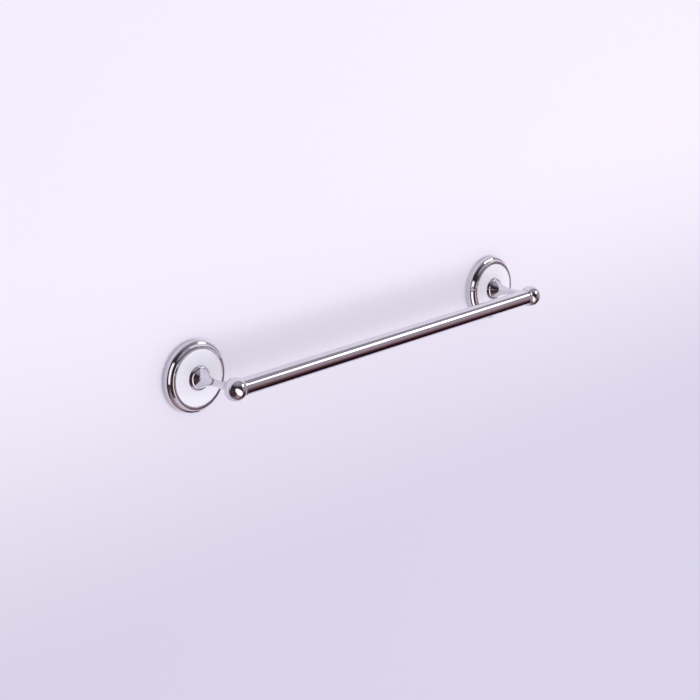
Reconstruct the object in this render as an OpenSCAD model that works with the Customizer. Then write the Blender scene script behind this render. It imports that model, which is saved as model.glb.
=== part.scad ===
// Suction grab bar: a chromed tube between two ball-ended posts, each on a round
// twist-lock suction mount. Units are millimetres. The wall is the plane Y = 0, the
// bar lies along X in front of it (towards -Y), and Z is up. The origin lies on the
// wall, midway between the two mounts. Everything is drawn locked on the wall.

/* [Layout] */
// Distance between the two suction mounts, centre to centre
centre_distance = 457; // [300:1:700]
// Distance from the wall to the axis of the bar
projection = 67; // [60:0.5:90]

/* [Bar] */
// Outside diameter of the bar tube
bar_d = 18; // [15:0.5:20]
// Wall thickness of the bar tube
bar_wall = 1.2; // [0.8:0.1:2]

/* [Ball ends] */
// Diameter of the ball at each end of the bar
ball_d = 24; // [23:0.5:30]
// How far the lip round the tube's end stands proud of the tube
mouth_wall = 0.9; // [0.5:0.1:1.2]
// Length of that lip in front of the ball
mouth_l = 2.2; // [1:0.1:4]
// Length of the spigot that the tube slides over
spigot_l = 20; // [16:1:40]
// Diameter of the stud that joins post and ball
stud_d = 5; // [4:0.5:6]
// Length of stud held in the post, and again in the ball
stud_grip = 8; // [6:0.5:9]
// Diameter of the grub screw that holds the tube on its spigot
grub_d = 4; // [3:0.5:5]
// Length of the grub screw
grub_l = 5; // [3:0.5:7]
// Distance from the end of the tube to the grub screw
grub_at = 10; // [5:0.5:13]
// Width across the flats of the grub screw's hexagon socket
grub_hex = 2; // [1.5:0.1:2.2]

/* [Post] */
// Diameter of the flared foot, where the post stands on its collar
foot_d = 21; // [19.5:0.5:21]
// Diameter of the narrow waist
waist_d = 7.5; // [7:0.1:10]
// Diameter of the tip, where the post meets the ball
tip_d = 11; // [10:0.1:15]
// Length of the flare, from the collar to the waist
flare_l = 23.5; // [20:0.1:27]
// Diameter of the collar under the post
collar_d = 26.8; // [26.8:0.2:32]
// Thickness of the collar
collar_t = 3.2; // [3.1:0.1:6]
// Radius of the collar's rounded front shoulder
collar_edge = 2.8; // [1:0.1:2.8]

/* [Rosette] */
// Outside diameter of the lock ring
rosette_d = 75; // [70:0.5:90]
// Wall thickness of the lock ring's skirt
skirt_wall = 2.2; // [1.4:0.1:2.8]
// Gap between the skirt and the wall, so that the ring turns freely
skirt_gap = 0.6; // [0.3:0.1:1.5]
// Width of the rim between the face disc and the outside of the ring
rim_w = 7.7; // [6.8:0.1:8.4]
// Height of the ring's straight skirt
skirt_h = 5.6; // [4.5:0.1:6.2]
// Diameter of the outer bead, on the front edge of the skirt
bead_d = 3.2; // [2.8:0.1:3.4]
// Step from the skirt in to the outer bead
bead_inset = 0.2; // [0.1:0.05:0.4]
// How far the top of the outer bead lies behind the disc's face
bead_drop = 3.2; // [2.9:0.05:3.4]
// Diameter of the inner bead, round the face disc
lip_d = 4.2; // [3.8:0.1:4.4]
// How far the top of the inner bead lies behind the disc's face
lip_drop = 0.2; // [0.1:0.05:0.5]
// Thickness of the ring under the groove between the two beads
groove_wall = 0.8; // [0.7:0.05:0.9]
// Thickness of the face disc
disc_t = 2.5; // [2.2:0.1:4]
// Radius of the face disc's rounded front edge
disc_edge = 0.8; // [0.3:0.1:1]
// Thickness of the lock ring's web
ring_web_t = 1.6; // [1.2:0.1:2.5]

/* [Suction cup] */
// Width of the flat sealing lip
lip_w = 5.5; // [4:0.5:8]
// Thickness of the sealing lip
lip_t = 2; // [1.5:0.1:2.5]
// Thickness of vinyl in front of the stem's head, and again behind it
cup_skin = 0.75; // [0.6:0.05:1.2]
// Width of vinyl round the stem's head
cup_boss_w = 2; // [1.5:0.1:4]
// Diameter of the draw stem
stem_d = 8; // [7:0.2:9]
// Diameter of the stem's head, moulded into the cup
head_d = 16; // [12:0.5:20]
// Thickness of the stem's head
head_t = 1.2; // [0.8:0.1:2]

/* [Lock] */
// Turn of the lock ring from locked to released, in degrees
lock_angle = 75; // [45:5:90]
// Distance that the lock draws the middle of the cup off the wall
stroke = 2.5; // [1.5:0.1:3]
// Diameter of the cross pin
pin_d = 2; // [1.6:0.1:2.4]
// Radial width of the cam ramps
cam_w = 3.5; // [3:0.1:4.5]
// Depth of cam under the pin at the low end of the ramps
cam_floor_t = 1; // [0.8:0.1:1.6]
// Width of the keys that turn the cam ring with the lock ring
key_w = 3; // [2:0.1:4]
// Height of those keys
key_h = 1.2; // [0.8:0.1:2]

/* [Pressure dish] */
// Thickness of the dish's web
dish_web_t = 1.6; // [1.2:0.1:2.5]
// Wall thickness of the hub round the stem
hub_wall = 2.8; // [2.4:0.1:3.2]
// Wall thickness of the hub's spigot inside the post's foot
socket_wall = 1.8; // [1.2:0.1:2.2]
// Number of pegs that carry the face disc
peg_count = 3; // [2:1:3]
// Diameter of a peg
peg_d = 5; // [4.5:0.1:6]
// Diameter of the peg's tip, in its hole in the face disc
peg_tip_d = 3.2; // [2.4:0.1:3.6]
// Length of the peg's tip
peg_tip_l = 1.3; // [1:0.1:1.5]
// Diameter of the circle that the pegs stand on
peg_circle_d = 40; // [36:1:46]

/* [Post screw] */
// Diameter of the screw that holds the post on the hub
screw_d = 4; // [3:0.5:5]
// Length of the screw under its head
screw_l = 13; // [9:0.5:15]
// Diameter of its head
screw_head_d = 7; // [6:0.2:7.6]
// Height of its head
screw_head_h = 2.4; // [2:0.1:3]
// Width across the flats of its hexagon socket
screw_hex = 2.5; // [2:0.1:3]
// Thickness of the hub's end wall under the head
screw_wall = 2.5; // [2:0.1:3.5]

/* [Clearances] */
// Radial clearance of a close fit
fit = 0.1; // [0.05:0.01:0.1]
// Axial gap beside a piece that turns
run_gap = 0.25; // [0.2:0.05:0.4]
// Clearance round a piece that moves past another
free_gap = 0.4; // [0.3:0.05:0.5]
// Gap between the cross pin and its ramps
ramp_gap = 0.15; // [0.1:0.05:0.3]

/* [Hidden] */
$fn = 96;
LEFT = -1;
RIGHT = 1;
// Overshoot of a cutting shape past the face that it cuts
over = 1;

CHROME = [0.80, 0.82, 0.85];
WHITE = [0.95, 0.95, 0.94];
GREY_PLASTIC = [0.62, 0.64, 0.66];
ACETAL = [0.88, 0.87, 0.82];
STEEL = [0.55, 0.56, 0.58];
VINYL = [0.75, 0.80, 0.82];

// Bar and ball ends
bar_r = bar_d / 2;
bar_bore_r = bar_r - bar_wall;
ball_r = ball_d / 2;
spigot_r = bar_bore_r - fit;
mouth_r = bar_r + mouth_wall;
tip_r = tip_d / 2;
// From a ball's centre to the face that the tube, or the post, stands on
tube_seat = chord(ball_r, mouth_r) + mouth_l;
post_seat = chord(ball_r, tip_r);
bar_l = centre_distance - 2 * tube_seat;

// Radii of a mount, from its axis outwards
stem_r = stem_d / 2;
head_r = head_d / 2;
screw_r = screw_d / 2;
stud_r = stud_d / 2;
hub_bore_r = stem_r + 2 * fit;
hub_r = hub_bore_r + hub_wall;
socket_r = hub_bore_r + socket_wall;
cam_bore_r = hub_r + fit;
cam_r = cam_bore_r + cam_w;
well_r = cam_r + free_gap;
peg_circle_r = peg_circle_d / 2;
skirt_r = rosette_d / 2;
skirt_bore_r = skirt_r - skirt_wall;
disc_r = skirt_r - rim_w;
disc_seat_r = disc_r + free_gap;
dish_r = skirt_bore_r - free_gap;
cup_r = dish_r - free_gap;
lip_bore_r = cup_r - lip_w;
cup_boss_r = head_r + cup_boss_w;
bead_r = bead_d / 2;
bead_at = skirt_r - bead_inset - bead_r;
lip_r = lip_d / 2;
lip_at = disc_seat_r + 0.85 * lip_r;

// Depths of a mount, from the wall outwards
head_rear = stroke + cup_skin;
cup_front = head_rear + head_t + cup_skin;
dish_rear = cup_front + free_gap;
dish_front = dish_rear + dish_web_t;
ring_rear = dish_front + run_gap;
ring_front = ring_rear + ring_web_t;
disc_rear = ring_front + run_gap;
face_depth = disc_rear + disc_t;
bead_depth = face_depth - bead_drop - bead_r;
lip_depth = face_depth - lip_drop - lip_r;
collar_front = face_depth + collar_t;
waist_at = collar_front + flare_l;
tip_at = projection - post_seat;

// The cross pin stands on the cam ramps, and the ring's turn lowers it by the stroke
pin_r = pin_d / 2;
pin_half_l = cam_r - free_gap;
ramp_margin = asin((pin_r + free_gap) / cam_bore_r) + 3;
ramp_rise = stroke / lock_angle;
ramp_low = ring_rear + cam_floor_t;
ramp_slope = stroke / (cam_bore_r * lock_angle * PI / 180);
pin_locked = ramp_low + stroke + pin_r * sqrt(1 + ramp_slope * ramp_slope) + ramp_gap;
pin_top = pin_locked + pin_r + free_gap;
pin_bottom = pin_locked - stroke - pin_r - free_gap;
ramp_steps = 24;
key_angle = (180 - lock_angle) / 2;

// The screw that joins the post to the hub
stem_top = pin_locked + pin_d;
screw_seat = stem_top + free_gap + screw_head_h;
hub_end = screw_seat + screw_wall;
screw_tip = screw_seat + screw_l;

// Distance from a circle's centre to a chord of a given half length
function chord(r, half) = sqrt(r * r - half * half);

// Radius of the arc that leaves a waist along the axis and ends further out
function flare_radius(rise, run) = (rise * rise + run * run) / (2 * rise);

// Share of the cup's rise at a share of the way from its lip to its boss
function swell(t) = (1 - cos(180 * t)) / 2;

// Depth of a cam ramp at an angle from the place of the locked pin
function ramp_depth(angle) = ramp_low + stroke + ramp_rise * angle;

// Places a piece on a mount, whose own Z axis runs from the wall out along the post
module on_mount(side) {
    translate([side * centre_distance / 2, 0, 0]) rotate([90, 0, 0]) children();
}

// Places a piece on a ball, whose own X axis runs from its centre into the bar
module on_ball(side) {
    translate([side * centre_distance / 2, -projection, 0])
        mirror([side == RIGHT ? 1 : 0, 0, 0]) children();
}

// A rectangle of a profile, between two radii and two depths
module band(r0, r1, z0, z1) {
    translate([r0, z0]) square([r1 - r0, z1 - z0]);
}

// A round bar between two depths
module rod(r, z0, z1) {
    translate([0, 0, z0]) cylinder(r = r, h = z1 - z0);
}

// A hexagon socket, given its width across the flats
module hex_socket(width, z0, z1) {
    translate([0, 0, z0]) cylinder(d = width / cos(30), h = z1 - z0, $fn = 6);
}

// Half a post's profile, from its waist to one wider end
module flare_profile(r_waist, r_end, z_waist, z_end) {
    arc = flare_radius(r_end - r_waist, abs(z_end - z_waist));
    difference() {
        band(0, r_end, min(z_waist, z_end), max(z_waist, z_end));
        translate([r_waist + arc, z_waist]) circle(arc, $fn = 180);
    }
}

module bar() {
    color(CHROME)
    difference() {
        translate([0, -projection, 0]) rotate([0, 90, 0])
            difference() {
                rod(bar_r, -bar_l / 2, bar_l / 2);
                rod(bar_bore_r, -bar_l / 2 - over, bar_l / 2 + over);
            }
        for (side = [LEFT, RIGHT]) on_ball(side)
            translate([tube_seat + grub_at, 0, 0])
                rod(grub_d / 2 + fit, -bar_r - over, 0);
    }
}

module ball_end(side) {
    color(CHROME) on_ball(side)
    difference() {
        union() {
            intersection() {
                sphere(ball_r);
                translate([-ball_r, post_seat - ball_d, -ball_r])
                    cube([ball_r + chord(ball_r, mouth_r), ball_d, ball_d]);
            }
            rotate([0, 90, 0]) rod(mouth_r, 0, tube_seat);
            rotate([0, 90, 0]) rod(spigot_r, 0, tube_seat + spigot_l);
        }
        rotate([-90, 0, 0]) rod(stud_r + fit, post_seat - stud_grip - fit, post_seat + over);
        translate([tube_seat + grub_at, 0, 0])
            rod(grub_d / 2 + fit, -spigot_r - over, grub_l - bar_r + free_gap);
    }
}

module grub_screw(side) {
    socket_depth = grub_l / 2;
    color(STEEL) on_ball(side) translate([tube_seat + grub_at, 0, -bar_r + free_gap])
    difference() {
        rod(grub_d / 2, 0, grub_l - fit);
        hex_socket(grub_hex, -over, socket_depth);
    }
}

module ball_stud(side) {
    color(STEEL) on_mount(side) rod(stud_r, tip_at - stud_grip, tip_at + stud_grip);
}

module post(side) {
    color(CHROME) on_mount(side) rotate_extrude()
    difference() {
        union() {
            flare_profile(waist_d / 2, foot_d / 2, waist_at, collar_front);
            flare_profile(waist_d / 2, tip_r, waist_at, tip_at);
        }
        band(-over, socket_r + fit, collar_front - over, hub_end + fit);
        band(-over, screw_r + fit, collar_front, screw_tip + over);
        band(-over, stud_r + fit, tip_at - stud_grip - fit, tip_at + over);
    }
}

module post_collar(side) {
    collar_r = collar_d / 2;
    color(CHROME) on_mount(side) rotate_extrude()
    difference() {
        union() {
            band(hub_r + fit, collar_r, face_depth, collar_front - collar_edge);
            band(hub_r + fit, collar_r - collar_edge, face_depth, collar_front);
            translate([collar_r - collar_edge, collar_front - collar_edge]) circle(collar_edge);
        }
        band(-over, well_r, face_depth - over, pin_top);
        band(-over, collar_d, face_depth - 2 * collar_edge, face_depth);
    }
}

module post_screw(side) {
    socket_depth = screw_head_h / 2;
    color(STEEL) on_mount(side)
    difference() {
        union() {
            rod(screw_head_d / 2, screw_seat - screw_head_h, screw_seat);
            rod(screw_r, screw_seat - screw_head_h / 2, screw_tip);
        }
        hex_socket(screw_hex, screw_seat - screw_head_h - over, screw_seat - socket_depth);
    }
}

// Repeats a piece at each peg of the pressure dish
module at_pegs() {
    for (i = [0 : peg_count - 1]) rotate(90 + i * 360 / peg_count) children();
}

module face_disc(side) {
    color(WHITE) on_mount(side)
    difference() {
        rotate_extrude() union() {
            band(well_r, disc_r - disc_edge, disc_rear, face_depth);
            band(well_r, disc_r, disc_rear, face_depth - disc_edge);
            translate([disc_r - disc_edge, face_depth - disc_edge]) circle(disc_edge);
        }
        at_pegs() translate([peg_circle_r, 0, 0])
            rod(peg_tip_d / 2 + fit, disc_rear - over, disc_rear + peg_tip_l + fit);
    }
}

// Profile of the lock ring: skirt, web, outer bead, groove and inner bead
module lock_ring_profile() {
    difference() {
        union() {
            band(skirt_bore_r, skirt_r, skirt_gap, skirt_gap + skirt_h);
            band(cam_r + fit, lip_at, ring_rear, ring_front);
            band(lip_at, bead_at, ring_rear, ring_rear + groove_wall);
            band(lip_at, lip_at + lip_r, ring_rear, lip_depth);
            translate([bead_at, bead_depth]) circle(bead_r);
            translate([lip_at, lip_depth]) circle(lip_r);
        }
        band(-over, skirt_bore_r, -over, ring_rear);
        band(-over, disc_seat_r, ring_front, face_depth + lip_d);
    }
}

// A curved slot through the web, in which a peg travels as the ring turns, with a
// slightly wider hole at each end
module peg_slot() {
    slot_r = peg_d / 2 + free_gap;
    rotate(-lock_angle) rotate_extrude(angle = lock_angle)
        band(peg_circle_r - slot_r, peg_circle_r + slot_r, ring_rear - over, ring_front + over);
    for (angle = [-lock_angle, 0]) rotate(angle) translate([peg_circle_r, 0, 0])
        rod(slot_r + fit, ring_rear - over, ring_front + over);
}

// The two keys between cam ring and lock ring, with a clearance on each side
module cam_keys(gap, z0, z1) {
    for (angle = [key_angle, key_angle + 180]) rotate(angle)
        translate([cam_bore_r + cam_w / 2, -key_w / 2 - gap, z0])
            cube([cam_w / 2 + key_h + gap, key_w + 2 * gap, z1 - z0]);
}

module lock_ring(side) {
    color(CHROME) on_mount(side)
    difference() {
        rotate_extrude() lock_ring_profile();
        at_pegs() peg_slot();
        cam_keys(fit, ring_rear - over, ring_front + over);
    }
}

// The space above one helical ramp: a floor that climbs with the angle, under a flat top
module ramp_cut() {
    first = -lock_angle - ramp_margin;
    last = ramp_margin;
    top = pin_top + over;
    angles = [for (i = [0 : ramp_steps]) first + (last - first) * i / ramp_steps];
    inner = cam_bore_r - over;
    outer = cam_r + over;
    points = [for (a = angles) each [
        [inner * cos(a), inner * sin(a), ramp_depth(a)],
        [inner * cos(a), inner * sin(a), top],
        [outer * cos(a), outer * sin(a), top],
        [outer * cos(a), outer * sin(a), ramp_depth(a)]
    ]];
    sides = [for (i = [0 : ramp_steps - 1], k = [0 : 3])
        let (a = 4 * i + k, b = 4 * i + (k + 1) % 4) each [[a, a + 4, b], [b, a + 4, b + 4]]];
    end = 4 * ramp_steps;
    polyhedron(points, concat([[0, 1, 2, 3]], sides, [[end + 3, end + 2, end + 1, end]]));
}

module cam_ring(side) {
    color(ACETAL) on_mount(side)
    difference() {
        union() {
            rod(cam_r, ring_rear, face_depth);
            cam_keys(0, ring_rear, ring_front);
        }
        rod(cam_bore_r, ring_rear - over, face_depth + over);
        for (turn = [0, 180]) rotate(turn) ramp_cut();
    }
}

// Profile of the dish: rim on the sealing lip, web, hub and the spigot in the post
module dish_profile() {
    difference() {
        union() {
            band(lip_bore_r + free_gap, dish_r, lip_t, dish_front);
            band(0, dish_r, dish_rear, dish_front);
            band(0, hub_r, dish_rear, collar_front);
            band(0, socket_r, dish_rear, hub_end);
        }
        band(-over, hub_bore_r, 0, screw_seat);
        band(-over, screw_r + fit, 0, hub_end + over);
    }
}

module pressure_dish(side) {
    slot_w = pin_d + 2 * fit;
    color(GREY_PLASTIC) on_mount(side)
    difference() {
        union() {
            rotate_extrude() dish_profile();
            at_pegs() translate([peg_circle_r, 0, 0]) {
                rod(peg_d / 2, dish_rear + dish_web_t / 2, disc_rear);
                rod(peg_tip_d / 2, dish_front, disc_rear + peg_tip_l);
            }
        }
        translate([-hub_r - over, -slot_w / 2, pin_bottom])
            cube([2 * (hub_r + over), slot_w, pin_top - pin_bottom]);
    }
}

module cross_pin(side) {
    color(STEEL) on_mount(side) translate([0, 0, pin_locked]) rotate([0, 90, 0])
        rod(pin_r, -pin_half_l, pin_half_l);
}

module draw_stem(side) {
    color(STEEL) on_mount(side)
    difference() {
        union() {
            rod(head_r, head_rear, head_rear + head_t);
            rod(stem_r, head_rear, stem_top);
        }
        translate([0, 0, pin_locked]) rotate([0, 90, 0])
            rod(pin_r + fit / 2, -stem_r - over, stem_r + over);
    }
}

// Profile of the cup: flat lip on the wall, swelling web and the boss round the stem
module cup_profile() {
    steps = 10;
    shares = [for (i = [0 : steps]) i / steps];
    web_w = lip_bore_r - cup_boss_r;
    rear = [for (t = shares) [lip_bore_r - web_w * t, stroke * swell(t)]];
    front = [for (t = shares) [cup_boss_r + web_w * t, cup_front - (cup_front - lip_t) * swell(t)]];
    polygon(concat([[cup_r, 0]], rear, [[0, stroke], [0, cup_front]], front, [[cup_r, lip_t]]));
}

module suction_cup(side) {
    color(VINYL) on_mount(side) rotate_extrude()
    difference() {
        cup_profile();
        band(-over, head_r + fit, head_rear - fit, head_rear + head_t + fit);
        band(-over, stem_r + fit, head_rear, cup_front + over);
    }
}

bar();
ball_end(LEFT);  // left_ball_end
ball_end(RIGHT);  // right_ball_end
grub_screw(LEFT);  // left_grub_screw
grub_screw(RIGHT);  // right_grub_screw
ball_stud(LEFT);  // left_ball_stud
ball_stud(RIGHT);  // right_ball_stud
post(LEFT);  // left_post
post(RIGHT);  // right_post
post_collar(LEFT);  // left_post_collar
post_collar(RIGHT);  // right_post_collar
post_screw(LEFT);  // left_post_screw
post_screw(RIGHT);  // right_post_screw
face_disc(LEFT);  // left_face_disc
face_disc(RIGHT);  // right_face_disc
lock_ring(LEFT);  // left_lock_ring
lock_ring(RIGHT);  // right_lock_ring
cam_ring(LEFT);  // left_cam_ring
cam_ring(RIGHT);  // right_cam_ring
pressure_dish(LEFT);  // left_pressure_dish
pressure_dish(RIGHT);  // right_pressure_dish
cross_pin(LEFT);  // left_cross_pin
cross_pin(RIGHT);  // right_cross_pin
draw_stem(LEFT);  // left_draw_stem
draw_stem(RIGHT);  // right_draw_stem
suction_cup(LEFT);  // left_suction_cup
suction_cup(RIGHT);  // right_suction_cup
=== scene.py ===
# Suction grab bar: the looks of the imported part. Outlines are drawn in millimetres, with
# depths from the wall outwards, and each piece is placed in metres in the part's own frame.
import math
from math import radians

import bmesh
import bpy
from mathutils import Matrix, Vector


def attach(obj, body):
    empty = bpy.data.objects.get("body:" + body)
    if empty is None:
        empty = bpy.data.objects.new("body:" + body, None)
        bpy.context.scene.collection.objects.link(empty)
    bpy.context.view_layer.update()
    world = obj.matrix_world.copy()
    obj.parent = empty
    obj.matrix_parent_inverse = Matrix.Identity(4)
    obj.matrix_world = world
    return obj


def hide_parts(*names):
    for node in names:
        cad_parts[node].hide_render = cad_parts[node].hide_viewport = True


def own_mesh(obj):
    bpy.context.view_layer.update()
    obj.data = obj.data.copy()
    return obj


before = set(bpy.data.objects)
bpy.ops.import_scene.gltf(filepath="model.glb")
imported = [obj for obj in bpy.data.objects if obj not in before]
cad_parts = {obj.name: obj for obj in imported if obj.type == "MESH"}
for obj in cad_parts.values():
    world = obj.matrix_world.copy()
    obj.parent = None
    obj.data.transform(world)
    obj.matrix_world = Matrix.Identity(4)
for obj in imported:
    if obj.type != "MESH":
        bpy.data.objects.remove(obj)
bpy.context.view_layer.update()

MM = 0.001
SIDES = {"left": -1, "right": 1}

# Bar and ball ends. A name that ends in EDGE is the rounding of that edge, here and below.
CENTRE_DISTANCE = 457
PROJECTION = 67
BAR_R = 9
BAR_BORE_R = 7.8
BAR_EDGE = 0.3
BALL_R = 12
MOUTH_R = 9.9
MOUTH_L = 2.2
MOUTH_EDGE = 0.5
SPIGOT_R = 7.7
SPIGOT_L = 20
SPIGOT_EDGE = 0.5
STUD_HOLE_R = 2.6
STUD_GRIP = 8.1
GRUB_HOLE_R = 2.1
GRUB_AT = 10
GRUB_HOLE_END = -3.6

# Post and collar
FOOT_R = 10.5
WAIST_R = 3.75
TIP_R = 5.5
FLARE_L = 23.5
SOCKET_R = 6.1
SOCKET_END = 19.5
SCREW_HOLE_R = 2.1
SCREW_HOLE_END = 30.9
COLLAR_R = 13.4
COLLAR_T = 3.2
COLLAR_TOP_R = 11.5
COLLAR_EDGE = 1.1
COLLAR_BORE_R = 7.1
WELL_R = 11
WELL_TOP = 13.5

# White disc and the pegs that carry it
DISC_R = 29.8
DISC_REAR = 9.3
DISC_REAR_EDGE = 0.3
DISC_EDGE = 0.8
FACE = 11.8
PEG_COUNT = 3
PEG_CIRCLE_R = 20
PEG_HOLE_R = 1.7
PEG_HOLE_L = 1.4

# Lock drum, from its skirt at the wall over the flank, the step and the rim to its web
SKIRT_R = 37.5
SKIRT_BORE_R = 35.3
SKIRT_BORE_EDGE = 0.3
SKIRT_GAP = 0.6
SKIRT_EDGE = 0.4
SKIRT_TOP = 6.2
SKIRT_TOP_EDGE = 0.5
FLANK_R = 36.6
FLANK_AT = 7.4
FLANK_EDGE = 0.5
STEP_R = 34.55
STEP_AT = 8.73
STEP_EDGE = 0.2
RIM_OUT_R = 33.1
RIM_OUT_EDGE = 0.4
RIM_SIDE_AT = 11.25
RIM_CREST_R = 31.6
RIM_CREST_AT = 11.4
RIM_CREST_EDGE = 0.9
SEAT_R = 30.2
SEAT_EDGE = 0.5
WEB_REAR = 7.45
WEB_FRONT = 9.05
WEB_BORE_R = 10.7
SLOT_R = 2.9
LOCK_ANGLE = 75
KEY_W = 3.2
KEY_IN_R = 9
KEY_OUT_R = 11.9

# Suction cup
CUP_R = 34.5
CUP_LIP_BORE_R = 29
CUP_LIP_T = 2
CUP_LIP_REAR_EDGE = 0.4
CUP_LIP_EDGE = 0.5
CUP_BOSS_R = 10
CUP_BOSS_GAP = 0.05
CUP_FRONT = 5.2
CUP_STROKE = 2.5
STEM_HOLE_R = 4.1
HEAD_HOLE_R = 8.1
HEAD_HOLE_REAR = 3.15
HEAD_HOLE_FRONT = 4.55

# Wall behind the bar, open behind each mount
WALL_HALF_W = 3000
WALL_BELOW = 850
WALL_ABOVE = 2500
WALL_GAP = 0.4
WALL_HOLE_R = 36.5

# How finely curves are stepped
TURN_STEPS = 192
BALL_STEPS = 40
FLARE_STEPS = 36
TIP_STEPS = 12
SLOT_STEPS = 36
SLOT_END_STEPS = 18
SWELL_STEPS = 12
CORNER_STEPS = 4
CUTTER_STEPS = 64
WALL_HOLE_STEPS = 96

# How far a cutter stands past a face, how close corners are merged in an outline and after
# a cut, all in millimetres, and the angle in degrees past which an edge looks sharp
OVER = 1
OUTLINE_MERGE = 0.0001
CUT_MERGE = 0.002
SHARP_ANGLE = 32


def chord(r, half):
    """Distance from a circle's centre to a chord of a given half length."""
    return math.sqrt(r * r - half * half)


# Places that follow from the sizes above
HALF_SPAN = CENTRE_DISTANCE / 2
COLLAR_FRONT = FACE + COLLAR_T
NECK_AT = chord(BALL_R, MOUTH_R)
TUBE_SEAT = NECK_AT + MOUTH_L
POST_SEAT = chord(BALL_R, TIP_R)
TIP_AT = PROJECTION - POST_SEAT
BAR_END = HALF_SPAN - TUBE_SEAT
ALONG_X = Matrix.Rotation(radians(90), 4, "Y")
ALONG_Y = Matrix.Rotation(radians(-90), 4, "X")


# Shaping

class Outline:
    """An outline in the XZ plane, drawn by corners and arcs, to be turned or pushed out."""

    def __init__(self, x, z):
        self.mesh = bmesh.new()
        self.first = self.mesh.verts.new((x, 0, z))
        self.tip = self.first
        self.rounded = []

    def line(self, x, z, rounding=0):
        """A straight run to a corner, whose edge may be rounded."""
        self.tip = bmesh.ops.extrude_vert_indiv(self.mesh, verts=[self.tip])["verts"][0]
        self.tip.co = (x, 0, z)
        if rounding:
            self.rounded.append((self.tip, rounding))
        return self

    def arc(self, centre, x, z, steps, clockwise=True):
        """An arc round a centre, which ends in the direction of a point."""
        start = math.atan2(self.tip.co.z - centre[1], self.tip.co.x - centre[0])
        end = math.atan2(z - centre[1], x - centre[0])
        sweep = (start - end) % math.tau if clockwise else -((end - start) % math.tau)
        made = bmesh.ops.spin(self.mesh, geom=[self.tip], cent=(centre[0], 0, centre[1]),
                              axis=(0, 1, 0), angle=sweep, steps=steps)
        self.tip = next(v for v in made["geom_last"] if isinstance(v, bmesh.types.BMVert))
        return self

    def swell(self, r_end, z_end):
        """Two arcs in a row, level at both ends, as a web of soft vinyl swells."""
        r, z = self.tip.co.x, self.tip.co.z
        half_run = (r_end - r) / 2
        half_rise = (z_end - z) / 2
        radius = (half_run ** 2 + half_rise ** 2) / (2 * abs(half_rise))
        way = math.copysign(radius, half_rise)
        clockwise = half_run * half_rise < 0
        self.arc((r, z + way), r + half_run, z + half_rise, SWELL_STEPS, clockwise)
        return self.arc((r_end, z_end - way), r_end, z_end, SWELL_STEPS, not clockwise)

    def close(self):
        """Joins the outline's end to its start."""
        self.mesh.edges.new((self.tip, self.first))
        return self

    def soften(self):
        """Rounds the corners that were marked for it."""
        for corner, radius in self.rounded:
            bmesh.ops.bevel(self.mesh, geom=[corner], offset=radius, segments=CORNER_STEPS,
                            profile=0.5, affect="VERTICES", material=-1)

    def turn(self):
        """Turns the outline round the Z axis, as on a lathe."""
        self.soften()
        bmesh.ops.spin(self.mesh, geom=self.mesh.verts[:] + self.mesh.edges[:], cent=(0, 0, 0),
                       axis=(0, 0, 1), angle=math.tau, steps=TURN_STEPS, use_merge=True)
        return merged(self.mesh)

    def push(self, length):
        """Fills the outline and pushes it out along Y."""
        merged(self.mesh)
        face = bmesh.ops.contextual_create(self.mesh, geom=self.mesh.edges[:])["faces"]
        made = bmesh.ops.extrude_face_region(self.mesh, geom=face)["geom"]
        corners = [v for v in made if isinstance(v, bmesh.types.BMVert)]
        bmesh.ops.translate(self.mesh, vec=(0, length, 0), verts=corners)
        return merged(self.mesh)


def merged(mesh):
    """The mesh, with doubled corners merged and its faces turned outwards."""
    bmesh.ops.remove_doubles(mesh, verts=mesh.verts[:], dist=OUTLINE_MERGE)
    bmesh.ops.recalc_face_normals(mesh, faces=mesh.faces[:])
    return mesh


def moved(mesh, place):
    """The mesh, put in another place."""
    bmesh.ops.transform(mesh, matrix=place, verts=mesh.verts[:])
    return mesh


def rod(r, z0, z1, x=0):
    """A round cutter along Z."""
    mesh = bmesh.new()
    bmesh.ops.create_cone(mesh, cap_ends=True, segments=CUTTER_STEPS, radius1=r, radius2=r,
                          depth=z1 - z0)
    return moved(mesh, Matrix.Translation((x, 0, (z0 + z1) / 2)))


def block(x0, x1, width, z0, z1):
    """A square cutter, centred on the X axis."""
    mesh = bmesh.new()
    bmesh.ops.create_cube(mesh, size=1)
    middle = Matrix.Translation(((x0 + x1) / 2, 0, (z0 + z1) / 2))
    return moved(mesh, middle @ Matrix.Diagonal((x1 - x0, width, z1 - z0, 1)))


def as_object(name, mesh, place):
    """An object at the origin, with its place in its mesh."""
    moved(mesh, Matrix.Scale(MM, 4) @ place)
    bmesh.ops.recalc_face_normals(mesh, faces=mesh.faces[:])
    data = bpy.data.meshes.new(name)
    mesh.to_mesh(data)
    mesh.free()
    made = bpy.data.objects.new(name, data)
    bpy.context.scene.collection.objects.link(made)
    return made


def cut(piece, cutters, place):
    """Takes the cutters out of a piece and cleans the slivers that the cuts leave."""
    tools = [as_object("cutter", cutter, place) for cutter in cutters]
    for tool in tools:
        step = piece.modifiers.new("cut", "BOOLEAN")
        step.operation = "DIFFERENCE"
        step.solver = "EXACT"
        step.object = tool
    shaped = piece.evaluated_get(bpy.context.evaluated_depsgraph_get())
    data = bpy.data.meshes.new_from_object(shaped)
    whole = bmesh.new()
    whole.from_mesh(data)
    bmesh.ops.remove_doubles(whole, verts=whole.verts[:], dist=CUT_MERGE * MM)
    bmesh.ops.triangulate(whole, faces=whole.faces[:])
    bmesh.ops.dissolve_degenerate(whole, dist=CUT_MERGE * MM, edges=whole.edges[:])
    bmesh.ops.holes_fill(whole, edges=whole.edges[:])
    whole.to_mesh(data)
    whole.free()
    piece.modifiers.clear()
    piece.data = data
    for tool in tools:
        bpy.data.objects.remove(tool)


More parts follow.
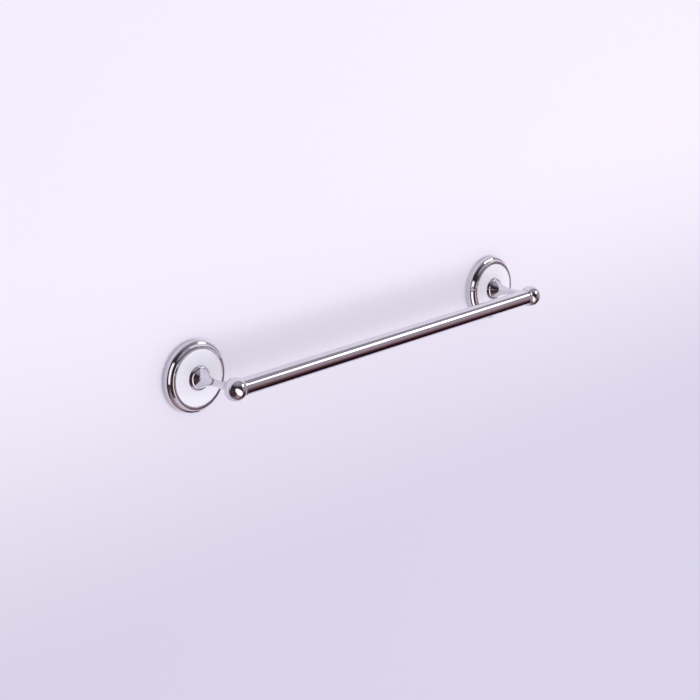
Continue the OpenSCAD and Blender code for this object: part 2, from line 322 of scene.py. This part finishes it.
def make(name, mesh, place, material, body, node=None, cutters=()):
    """One finished piece, which rides on a body and may stand for a node of the frame."""
    piece = as_object(name, mesh, place)
    if cutters:
        cut(piece, cutters, place)
    piece.data.name = name
    piece.data.materials.clear()
    piece.data.materials.append(material)
    piece.data.shade_smooth()
    piece.data.set_sharp_from_angle(angle=radians(SHARP_ANGLE))
    even = piece.modifiers.new("even_normals", "WEIGHTED_NORMAL")
    even.mode = "FACE_AREA"
    even.keep_sharp = True
    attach(piece, body)
    if node:
        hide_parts(node)
    return piece


def on_mount(side):
    """The place of a mount, whose Z axis runs from the wall out along the post."""
    return Matrix.Translation((side * HALF_SPAN, 0, 0)) @ Matrix.Rotation(radians(90), 4, "X")


def on_ball(side):
    """The place of a ball, whose X axis runs from its centre into the bar."""
    middle = Matrix.Translation((side * HALF_SPAN, -PROJECTION, 0))
    return middle @ Matrix.Diagonal((-side, 1, 1, 1))


def about_post(angle):
    """A turn about a mount's own axis, in degrees."""
    return Matrix.Rotation(radians(angle), 4, "Z")


def pegs():
    """The turns of the pegs that carry a face disc. The first one is at the top."""
    return [about_post(90 + i * 360 / PEG_COUNT) for i in range(PEG_COUNT)]


# Finishes

class Wire:
    """An output of a node. Sums and products of wires and numbers add Math nodes."""

    def __init__(self, bench, socket):
        self.bench = bench
        self.socket = socket

    def maths(self, operation, first, second):
        """Adds one Math node."""
        return self.bench.node("ShaderNodeMath", {"operation": operation}, {0: first, 1: second})

    def __add__(self, other):
        return self.maths("ADD", self, other)

    def __sub__(self, other):
        return self.maths("SUBTRACT", self, other)

    def __rsub__(self, other):
        return self.maths("SUBTRACT", other, self)

    def __mul__(self, other):
        return self.maths("MULTIPLY", self, other)

    def __pow__(self, other):
        return self.maths("POWER", self, other)

    def __abs__(self):
        return self.maths("ABSOLUTE", self, 0)

    __radd__ = __add__
    __rmul__ = __mul__


class Bench:
    """The nodes of one finish."""

    def __init__(self, owner):
        owner.use_nodes = True
        self.tree = owner.node_tree
        self.tree.nodes.clear()

    def node(self, kind, settings=None, inputs=None, output=0):
        """Adds a node: its settings first, then the values or links of its sockets."""
        made = self.tree.nodes.new(kind)
        for name, value in (settings or {}).items():
            if name == "stops":
                set_stops(made.color_ramp, value)
            else:
                setattr(made, name, value)
        for name, value in (inputs or {}).items():
            if isinstance(value, Wire):
                self.tree.links.new(value.socket, made.inputs[name])
            else:
                made.inputs[name].default_value = value
        return Wire(self, made.outputs[output]) if made.outputs else None

    def axes(self, space="Object"):
        """The X, Y and Z of a piece's own coordinates, in metres, or of the world's directions."""
        where = self.node("ShaderNodeTexCoord", output=space)
        split = self.node("ShaderNodeSeparateXYZ", None, {0: where})
        return [Wire(self, out) for out in split.socket.node.outputs]

    def light_path(self, output):
        """What Light Path says of the ray that arrives."""
        return self.node("ShaderNodeLightPath", output=output)

    def speckle(self, size, detail=3, scale=(1, 1, 1)):
        """Cloudy noise whose features are a given number of millimetres wide."""
        where = self.node("ShaderNodeTexCoord", output="Object")
        stretched = self.node("ShaderNodeMapping", None, {"Vector": where, "Scale": scale})
        inputs = {"Vector": stretched, "Scale": 1 / (size * MM), "Detail": detail}
        return self.node("ShaderNodeTexNoise", None, inputs)

    def between(self, value, low, high):
        """A smooth rise from 0, where the value is low, to 1, where it is high."""
        inputs = {"Value": value, 1: low, 2: high}
        return self.node("ShaderNodeMapRange", {"interpolation_type": "SMOOTHSTEP"}, inputs)

    def blend(self, share, first, second):
        """A colour between two colours."""
        inputs = {0: share, 6: first, 7: second}
        return self.node("ShaderNodeMix", {"data_type": "RGBA"}, inputs, output=2)

    def ramp(self, value, stops):
        """A colour from a ramp of colours."""
        return self.node("ShaderNodeValToRGB", {"stops": stops}, {0: value})

    def relief(self, height, depth):
        """A bumped normal, for a relief of a given depth in millimetres."""
        return self.node("ShaderNodeBump", None, {"Height": height, "Distance": depth * MM})

    def surface(self, **inputs):
        """The finished surface."""
        names = {name.replace("_", " ").title(): value for name, value in inputs.items()}
        names = {name.replace("Ior", "IOR"): value for name, value in names.items()}
        return self.node("ShaderNodeBsdfPrincipled", None, names)


def set_stops(ramp, stops):
    """Sets the places and colours of a colour ramp."""
    while len(ramp.elements) < len(stops):
        ramp.elements.new(0.5)
    for element, (at, colour) in zip(ramp.elements, stops):
        element.position = at
        element.color = colour


def finish(name, set_out):
    """A material whose nodes a function sets out."""
    material = bpy.data.materials.new(name)
    bench = Bench(material)
    bench.node("ShaderNodeOutputMaterial", None, {"Surface": set_out(bench)})
    return material


def rgb(r, g, b):
    """A colour for a socket."""
    return (r, g, b, 1)


# Finishes of the grab bar

def chrome(bench):
    """Bright plating, with a thin haze, a slight ripple and fine polishing marks."""
    haze = bench.speckle(16)
    marks = bench.speckle(0.6, scale=(0.06, 1, 1))
    ripple = bench.speckle(11, detail=1)
    colour = bench.blend(haze, rgb(0.65, 0.65, 0.69), rgb(0.74, 0.74, 0.77))
    return bench.surface(base_color=colour, metallic=1.0,
                         roughness=0.03 + haze * 0.03 + marks * 0.02,
                         normal=bench.relief(ripple, 0.006))


def white_face(bench):
    """Glossy white moulding, a little duller and darker towards its edge and round the collar,
    where it has dust and painted shade.
    """
    rim_dust_and_shade_w = 2.5
    foot_dust_and_shade_w = 2
    x, y, z = bench.axes()
    across = abs(x) - HALF_SPAN * MM
    radius = (across * across + z * z) ** 0.5
    # Dust and painted shade: the white darkens towards the disc's edge and round the collar's foot
    rim = bench.between(radius, (DISC_R - rim_dust_and_shade_w) * MM, DISC_R * MM)
    foot = bench.between(radius, (COLLAR_R + foot_dust_and_shade_w) * MM, COLLAR_R * MM)
    clouds = bench.speckle(7)
    dust = bench.speckle(0.8, detail=6)
    # A random cloudy tone, plus dust and painted shade at the edge and round the foot
    share = bench.between(clouds, 0.3, 0.7) * 0.4 + (rim + foot) * 0.3 * dust
    colour = bench.blend(share, rgb(0.91, 0.89, 0.95), rgb(0.85, 0.83, 0.89))
    return bench.surface(base_color=colour, roughness=0.2 + share * 0.2 + dust * 0.05,
                         coat_weight=0.4, coat_roughness=0.06,
                         normal=bench.relief(bench.speckle(2.2, detail=2), 0.006))


def clear_vinyl(bench):
    """Soft clear vinyl, faintly cloudy."""
    clouds = bench.speckle(6)
    fine = bench.speckle(0.5, detail=4)
    colour = bench.blend(clouds, rgb(0.80, 0.86, 0.88), rgb(0.92, 0.95, 0.96))
    return bench.surface(base_color=colour, roughness=0.10 + clouds * 0.10 + fine * 0.04,
                         transmission_weight=0.75, ior=1.45,
                         normal=bench.relief(clouds, 0.02))


def grey_plastic(bench):
    """Moulded grey plastic with a fine matt grain."""
    grain = bench.speckle(0.35, detail=2)
    clouds = bench.speckle(9)
    colour = bench.blend(clouds, rgb(0.30, 0.32, 0.34), rgb(0.38, 0.40, 0.42))
    return bench.surface(base_color=colour, roughness=0.42 + grain * 0.18,
                         normal=bench.relief(grain, 0.02))


def acetal(bench):
    """Ivory acetal, waxy and slightly mottled."""
    clouds = bench.speckle(5)
    fine = bench.speckle(0.4)
    colour = bench.blend(clouds, rgb(0.72, 0.70, 0.62), rgb(0.80, 0.78, 0.71))
    return bench.surface(base_color=colour, roughness=0.3 + fine * 0.15,
                         normal=bench.relief(fine, 0.008))


def steel(bench):
    """Plain turned steel, with fine lines across the depth."""
    lines = bench.speckle(0.25, scale=(0.3, 1, 0.3))
    stain = bench.speckle(6)
    colour = bench.blend(stain, rgb(0.42, 0.42, 0.43), rgb(0.54, 0.54, 0.55))
    return bench.surface(base_color=colour, metallic=1.0,
                         roughness=0.24 + lines * 0.16 + stain * 0.05,
                         normal=bench.relief(lines, 0.004))


CHROME = finish("chrome", chrome)
WHITE_FACE = finish("white_face", white_face)
CLEAR_VINYL = finish("clear_vinyl", clear_vinyl)
GREY_PLASTIC = finish("grey_plastic", grey_plastic)
ACETAL = finish("acetal", acetal)
STEEL = finish("steel", steel)


# Pieces of the grab bar

def bar_tube():
    """The tube, with a hole from below near each end for its grub screw."""
    outline = Outline(BAR_BORE_R, -BAR_END).line(BAR_R, -BAR_END, BAR_EDGE)
    outline.line(BAR_R, BAR_END, BAR_EDGE).line(BAR_BORE_R, BAR_END).close()
    mesh = moved(outline.turn(), ALONG_X)
    hole_at = BAR_END - GRUB_AT
    holes = [rod(GRUB_HOLE_R, -BAR_R - OVER, 0, side * hole_at) for side in SIDES.values()]
    place = Matrix.Translation((0, -PROJECTION, 0))
    make("bar_tube", mesh, place, CHROME, "root", "bar", holes)


def ball(name, side):
    """The ball with the lip round the tube and its spigot inside, flat where the post meets it."""
    spigot_end = TUBE_SEAT + SPIGOT_L
    outline = Outline(0, -BALL_R).arc((0, 0), MOUTH_R, NECK_AT, BALL_STEPS, clockwise=False)
    outline.line(MOUTH_R, TUBE_SEAT, MOUTH_EDGE).line(SPIGOT_R, TUBE_SEAT)
    outline.line(SPIGOT_R, spigot_end, SPIGOT_EDGE).line(0, spigot_end)
    mesh = moved(outline.turn(), ALONG_X)
    parts = mesh.verts[:] + mesh.edges[:] + mesh.faces[:]
    flat = bmesh.ops.bisect_plane(mesh, geom=parts, plane_co=(0, POST_SEAT, 0),
                                  plane_no=(0, 1, 0), clear_outer=True)["geom_cut"]
    rim = [edge for edge in flat if isinstance(edge, bmesh.types.BMEdge)]
    bmesh.ops.contextual_create(mesh, geom=rim)
    stud_hole = moved(rod(STUD_HOLE_R, POST_SEAT - STUD_GRIP, POST_SEAT + OVER), ALONG_Y)
    grub_hole = rod(GRUB_HOLE_R, -SPIGOT_R - OVER, GRUB_HOLE_END, TUBE_SEAT + GRUB_AT)
    make(name + "_ball", mesh, on_ball(side), CHROME, "root", name + "_ball_end",
         [stud_hole, grub_hole])


def flare_radius(run, rise):
    """The radius of an arc that leaves the waist along the axis and rises over a run."""
    return (rise * rise + run * run) / (2 * rise)


def trumpet_post(name, side):
    """The post, flared like a trumpet from its waist down to its foot."""
    waist_at = COLLAR_FRONT + FLARE_L
    foot_arc = flare_radius(FLARE_L, FOOT_R - WAIST_R)
    tip_arc = flare_radius(TIP_AT - waist_at, TIP_R - WAIST_R)
    outline = Outline(SOCKET_R, COLLAR_FRONT).line(FOOT_R, COLLAR_FRONT)
    outline.arc((WAIST_R + foot_arc, waist_at), WAIST_R, waist_at, FLARE_STEPS)
    outline.arc((WAIST_R + tip_arc, waist_at), TIP_R, TIP_AT, TIP_STEPS)
    outline.line(STUD_HOLE_R, TIP_AT).line(STUD_HOLE_R, TIP_AT - STUD_GRIP)
    outline.line(0, TIP_AT - STUD_GRIP).line(0, SCREW_HOLE_END)
    outline.line(SCREW_HOLE_R, SCREW_HOLE_END).line(SCREW_HOLE_R, SOCKET_END)
    outline.line(SOCKET_R, SOCKET_END).close()
    make(name + "_trumpet_post", outline.turn(), on_mount(side), CHROME, "root",
         name + "_post")


def collar_ring(name, side):
    """The low collar under the post: a steep side and a rounded shoulder."""
    outline = Outline(WELL_R, FACE).line(COLLAR_R, FACE)
    outline.line(COLLAR_TOP_R, COLLAR_FRONT, COLLAR_EDGE)
    outline.line(COLLAR_BORE_R, COLLAR_FRONT).line(COLLAR_BORE_R, WELL_TOP)
    outline.line(WELL_R, WELL_TOP).close()
    make(name + "_collar_ring", outline.turn(), on_mount(side), CHROME, "root",
         name + "_post_collar")


def white_disc(name, side):
    """The flat white disc, with blind holes behind for the pegs."""
    outline = Outline(WELL_R, DISC_REAR).line(DISC_R, DISC_REAR, DISC_REAR_EDGE)
    outline.line(DISC_R, FACE, DISC_EDGE).line(WELL_R, FACE).close()
    hole_end = DISC_REAR + PEG_HOLE_L
    holes = [moved(rod(PEG_HOLE_R, DISC_REAR - OVER, hole_end, PEG_CIRCLE_R), turn)
             for turn in pegs()]
    make(name + "_white_disc", outline.turn(), on_mount(side), WHITE_FACE, "root",
         name + "_face_disc", holes)


def peg_slot():
    """A cutter for one curved slot, in which a peg travels."""
    x, z = math.cos(radians(LOCK_ANGLE)), -math.sin(radians(LOCK_ANGLE))
    outer = PEG_CIRCLE_R + SLOT_R
    inner = PEG_CIRCLE_R - SLOT_R
    outline = Outline(outer, 0).arc((0, 0), outer * x, outer * z, SLOT_STEPS)
    far_end = (PEG_CIRCLE_R * x, PEG_CIRCLE_R * z)
    outline.arc(far_end, inner * x, inner * z, SLOT_END_STEPS)
    outline.arc((0, 0), inner, 0, SLOT_STEPS, clockwise=False)
    outline.arc((PEG_CIRCLE_R, 0), outer, 0, SLOT_END_STEPS)
    mesh = moved(outline.push(WEB_FRONT - WEB_REAR + 2 * OVER), ALONG_Y)
    return moved(mesh, Matrix.Translation((0, 0, WEB_FRONT + OVER)))


def lock_drum(name, side):
    """The turning drum: a rim with a slight crest, a step, a sloping flank and a skirt."""
    outline = Outline(WEB_BORE_R, WEB_REAR).line(WEB_BORE_R, WEB_FRONT).line(SEAT_R, WEB_FRONT)
    outline.line(SEAT_R, RIM_SIDE_AT, SEAT_EDGE)
    outline.line(RIM_CREST_R, RIM_CREST_AT, RIM_CREST_EDGE)
    outline.line(RIM_OUT_R, RIM_SIDE_AT, RIM_OUT_EDGE)
    outline.line(STEP_R, STEP_AT, STEP_EDGE)
    outline.line(FLANK_R, FLANK_AT, FLANK_EDGE)
    outline.line(SKIRT_R, SKIRT_TOP, SKIRT_TOP_EDGE).line(SKIRT_R, SKIRT_GAP, SKIRT_EDGE)
    outline.line(SKIRT_BORE_R, SKIRT_GAP, SKIRT_BORE_EDGE).line(SKIRT_BORE_R, WEB_REAR).close()
    slots = [moved(peg_slot(), turn) for turn in pegs()]
    key_angle = (180 - LOCK_ANGLE) / 2
    keyways = [moved(block(KEY_IN_R, KEY_OUT_R, KEY_W, WEB_REAR - OVER, WEB_FRONT + OVER),
                     about_post(angle))
               for angle in (key_angle, key_angle + 180)]
    make(name + "_lock_drum", outline.turn(), on_mount(side), CHROME, name + "_lock",
         name + "_lock_ring", slots + keyways)


def suction_cup(name, side):
    """The clear cup. Its web flattens as the lock lets go, and its boss moves with the stem."""
    web = Outline(CUP_BOSS_R, CUP_STROKE).swell(CUP_LIP_BORE_R, 0)
    web.line(CUP_R, 0, CUP_LIP_REAR_EDGE).line(CUP_R, CUP_LIP_T, CUP_LIP_EDGE)
    web.line(CUP_LIP_BORE_R, CUP_LIP_T).swell(CUP_BOSS_R, CUP_FRONT).close()
    cup = make(name + "_cup_web", web.turn(), on_mount(side), CLEAR_VINYL, "root",
               name + "_suction_cup")
    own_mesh(cup)
    edge = CUP_BOSS_R - CUP_BOSS_GAP
    boss = Outline(0, CUP_STROKE).line(edge, CUP_STROKE).line(edge, CUP_FRONT)
    boss.line(STEM_HOLE_R, CUP_FRONT).line(STEM_HOLE_R, HEAD_HOLE_FRONT)
    boss.line(HEAD_HOLE_R, HEAD_HOLE_FRONT).line(HEAD_HOLE_R, HEAD_HOLE_REAR)
    boss.line(0, HEAD_HOLE_REAR)
    make(name + "_cup_boss", boss.turn(), on_mount(side), CLEAR_VINYL,
         name + "_draw")


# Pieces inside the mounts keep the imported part's shapes
INNER_FINISHES = {
    "grub_screw": STEEL,
    "ball_stud": STEEL,
    "post_screw": STEEL,
    "cross_pin": STEEL,
    "draw_stem": STEEL,
    "cam_ring": ACETAL,
    "pressure_dish": GREY_PLASTIC,
}


def inner_pieces(name):
    """The finishes of the pieces inside one mount."""
    for inner, material in INNER_FINISHES.items():
        for material_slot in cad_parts[name + "_" + inner].material_slots:
            material_slot.material = material


bar_tube()
for name, side in SIDES.items():
    ball(name, side)
    trumpet_post(name, side)
    collar_ring(name, side)
    white_disc(name, side)
    lock_drum(name, side)
    suction_cup(name, side)
    inner_pieces(name)


# Wall: its colours, with painted shade that darkens it downwards, and where in metres they begin
# and are full

WALL_LIT_TOP = rgb(0.89, 0.845, 0.915)
WALL_LIT_FROM = 0.15
WALL_SHADED_LOW = rgb(0.655, 0.627, 0.728)
WALL_SHADE_FROM = -0.27
DARK_END = rgb(0.06, 0.045, 0.05)
DARK_END_FROM = -0.50
DARK_END_FULL = -0.60
DARK_END_TOP = 0.3
DARK_END_TOP_FULL = 0.15


def wall_paint(bench):
    """Pale paint with painted shade, darker downwards, and clear from behind. Chrome mirrors its
    far left end dark.
    """
    x, y, z = bench.axes()
    grain = bench.speckle(1.5, detail=4)
    # Painted shade: the paint goes from a lit colour at the top to a shaded colour low down
    colour = bench.blend(bench.between(z, WALL_SHADE_FROM, WALL_LIT_FROM), WALL_SHADED_LOW, WALL_LIT_TOP)
    end = bench.between(x, DARK_END_FROM, DARK_END_FULL)
    end = end * bench.between(z, DARK_END_TOP, DARK_END_TOP_FULL)
    colour = bench.blend(bench.light_path("Is Glossy Ray") * end, colour, DARK_END)
    paint = bench.surface(base_color=colour, roughness=0.7, specular_ior_level=0.2,
                          normal=bench.relief(grain, 0.03))
    behind = bench.node("ShaderNodeNewGeometry", output="Backfacing")
    clear = bench.node("ShaderNodeBsdfTransparent")
    return bench.node("ShaderNodeMixShader", None, {0: behind, 1: paint, 2: clear})


def wall():
    """The wall behind the bar, open behind each mount so that light reaches the cups."""
    mesh = bmesh.new()
    for side in SIDES.values():
        ring = bmesh.ops.create_circle(mesh, segments=WALL_HOLE_STEPS, radius=WALL_HOLE_R)["verts"]
        bmesh.ops.translate(mesh, vec=(side * HALF_SPAN, 0, 0), verts=ring)
    left, right = -WALL_HALF_W, WALL_HALF_W
    low, high = -WALL_BELOW, WALL_ABOVE
    corners = [mesh.verts.new((x, y, 0))
               for x, y in ((left, low), (right, low), (right, high), (left, high))]
    for i, corner in enumerate(corners):
        mesh.edges.new((corners[i - 1], corner))
    bmesh.ops.triangle_fill(mesh, use_beauty=True, edges=mesh.edges[:])
    place = Matrix.Translation((0, WALL_GAP, 0)) @ Matrix.Rotation(radians(90), 4, "X")
    made = as_object("wall", mesh, place)
    if made.data.polygons[0].normal.y > 0:
        made.data.flip_normals()
    made.data.materials.append(finish("wall_paint", wall_paint))


# Light: the room's colours, and in which directions they begin and are full. A direction is
# given by its share along the bar, from -1 on the left to 1 on the right, and the glow's by
# its share along the glow's own way.

SOFT_LIGHT = rgb(0.69, 0.68, 0.74)
BACKDROP = rgb(0.93, 0.91, 0.96)
DIM_SIDE_TO = 0.46
LIT_SIDE_FROM = 0.64
FAR_RIGHT = rgb(0.46, 0.43, 0.5)
FAR_RIGHT_FROM = 0.82
FAR_RIGHT_FULL = 0.95
FAR_RIGHT_SHARE = 0.8
GLOW = rgb(0.46, 0.33, 0.36)
GLOW_WAY = (0.06, -0.74, -0.67)
GLOW_FROM = 0.78
GLOW_FULL = 0.96
GLOW_SHARE = 0.9

# What chrome mirrors on the room's lit right and on its dim left, from the floor, 0, to the
# ceiling, 1. The dim side is sloped: it is level where its direction has a given share.
DIM_SLOPE = 0.12
DIM_LEVEL_AT = -0.2
LIT_SIDE = [
    (0.0, rgb(0.02, 0.004, 0.008)),
    (0.21, rgb(0.025, 0.005, 0.009)),
    (0.30, rgb(0.13, 0.065, 0.08)),
    (0.37, rgb(0.32, 0.21, 0.245)),
    (0.44, rgb(0.38, 0.27, 0.31)),
    (0.55, rgb(0.44, 0.36, 0.41)),
    (0.85, rgb(0.34, 0.31, 0.37)),
    (1.0, rgb(0.5, 0.47, 0.56)),
]
DIM_SIDE = [
    (0.0, rgb(0.36, 0.25, 0.28)),
    (0.04, rgb(0.22, 0.13, 0.15)),
    (0.12, rgb(0.06, 0.03, 0.035)),
    (0.45, rgb(0.08, 0.05, 0.055)),
    (0.66, rgb(0.03, 0.022, 0.03)),
    (0.82, rgb(0.06, 0.05, 0.06)),
    (0.90, rgb(0.28, 0.25, 0.30)),
    (1.0, rgb(0.42, 0.39, 0.46)),
]


def room(bench):
    """An even soft light, a pale backdrop for the camera and a dim room that chrome mirrors."""
    x, y, z = bench.axes("Generated")
    height = z * 0.5 + 0.5
    right = bench.ramp(height, LIT_SIDE)
    left = bench.ramp(height + (x - DIM_LEVEL_AT) * DIM_SLOPE, DIM_SIDE)
    seen = bench.blend(bench.between(x, DIM_SIDE_TO, LIT_SIDE_FROM), left, right)
    far = bench.between(x, FAR_RIGHT_FROM, FAR_RIGHT_FULL)
    seen = bench.blend(far * FAR_RIGHT_SHARE, seen, FAR_RIGHT)
    towards_glow = x * GLOW_WAY[0] + y * GLOW_WAY[1] + z * GLOW_WAY[2]
    glow = bench.between(towards_glow, GLOW_FROM, GLOW_FULL)
    seen = bench.blend(glow * GLOW_SHARE, seen, GLOW)
    # 1 for a ray that no matt surface has scattered, and 0 for any other
    unscattered = bench.between(bench.light_path("Diffuse Depth"), 0.9, 0.1)
    mirrored = bench.light_path("Is Glossy Ray") * unscattered
    light = bench.blend(mirrored, SOFT_LIGHT, seen)
    colour = bench.blend(bench.light_path("Is Camera Ray"), light, BACKDROP)
    return bench.node("ShaderNodeBackground", None, {"Color": colour})


def studio():
    """The world round the wall and the bar."""
    world = bpy.data.worlds.new("studio")
    bench = Bench(world)
    bench.node("ShaderNodeOutputWorld", None, {"Surface": room(bench)})
    bpy.context.scene.world = world
    bpy.context.scene.view_settings.view_transform = "Standard"


def facing(way, distance, turn, target=Vector()):
    """A place some way off from a target, which faces it, turned about its own axis in degrees."""
    facing_turn = way.to_track_quat("Z", "Y").to_matrix() @ Matrix.Rotation(radians(turn), 3, "Z")
    return Matrix.Translation(target + way * distance) @ facing_turn.to_4x4()


def lamp(name, way, distance, width, height, radiance, tilt=0, lights=True, mirrored=True):
    """A soft oval lamp, in metres, that faces the middle of the wall behind the bar.

    It lights the scene, is mirrored in the chrome, or does both.
    """
    data = bpy.data.lights.new(name, "AREA")
    data.shape = "ELLIPSE"
    data.size = width
    data.size_y = height
    area = math.pi / 4 * width * height
    data.energy = radiance * math.pi * area
    made = bpy.data.objects.new(name, data)
    made.matrix_world = facing(Vector(way).normalized(), distance, tilt)
    made.visible_camera = False
    made.visible_diffuse = lights
    made.visible_glossy = mirrored
    bpy.context.scene.collection.objects.link(made)


# Camera: angles in degrees, its distance and target in metres, its lens in millimetres
AZIMUTH = -44.34
ELEVATION = 16.89
ROLL = -1.66
CAMERA_DISTANCE = 1.6825
CAMERA_TARGET = Vector((-0.0046, 0.0005, -0.0253))
LENS = 77.85
SENSOR_W = 36
NEAR_END = 0.05
FAR_END = 20


def camera():
    """The camera of the photograph, turned a little about its own axis."""
    level = math.cos(radians(ELEVATION))
    back = Vector((math.sin(radians(AZIMUTH)) * level, -math.cos(radians(AZIMUTH)) * level,
                   math.sin(radians(ELEVATION))))
    data = bpy.data.cameras.new("camera")
    data.lens = LENS
    data.sensor_width = SENSOR_W
    data.clip_start = NEAR_END
    data.clip_end = FAR_END
    made = bpy.data.objects.new("camera", data)
    made.matrix_world = facing(back, CAMERA_DISTANCE, ROLL, CAMERA_TARGET)
    bpy.context.scene.collection.objects.link(made)
    bpy.context.scene.camera = made


wall()
lamp("front_lamp", way=(0.22, -0.965, -0.13), distance=4.0, width=3.8, height=3.0,
     radiance=2.58, mirrored=False)
lamp("front_panel", way=(-0.206, -0.953, -0.223), distance=1.44, width=2.7, height=1.12,
     radiance=1.25, tilt=-48, lights=False)
lamp("window", way=(0.665, -0.582, 0.455), distance=1.8, width=1.0, height=0.57,
     radiance=2.2, lights=False)
studio()
camera()
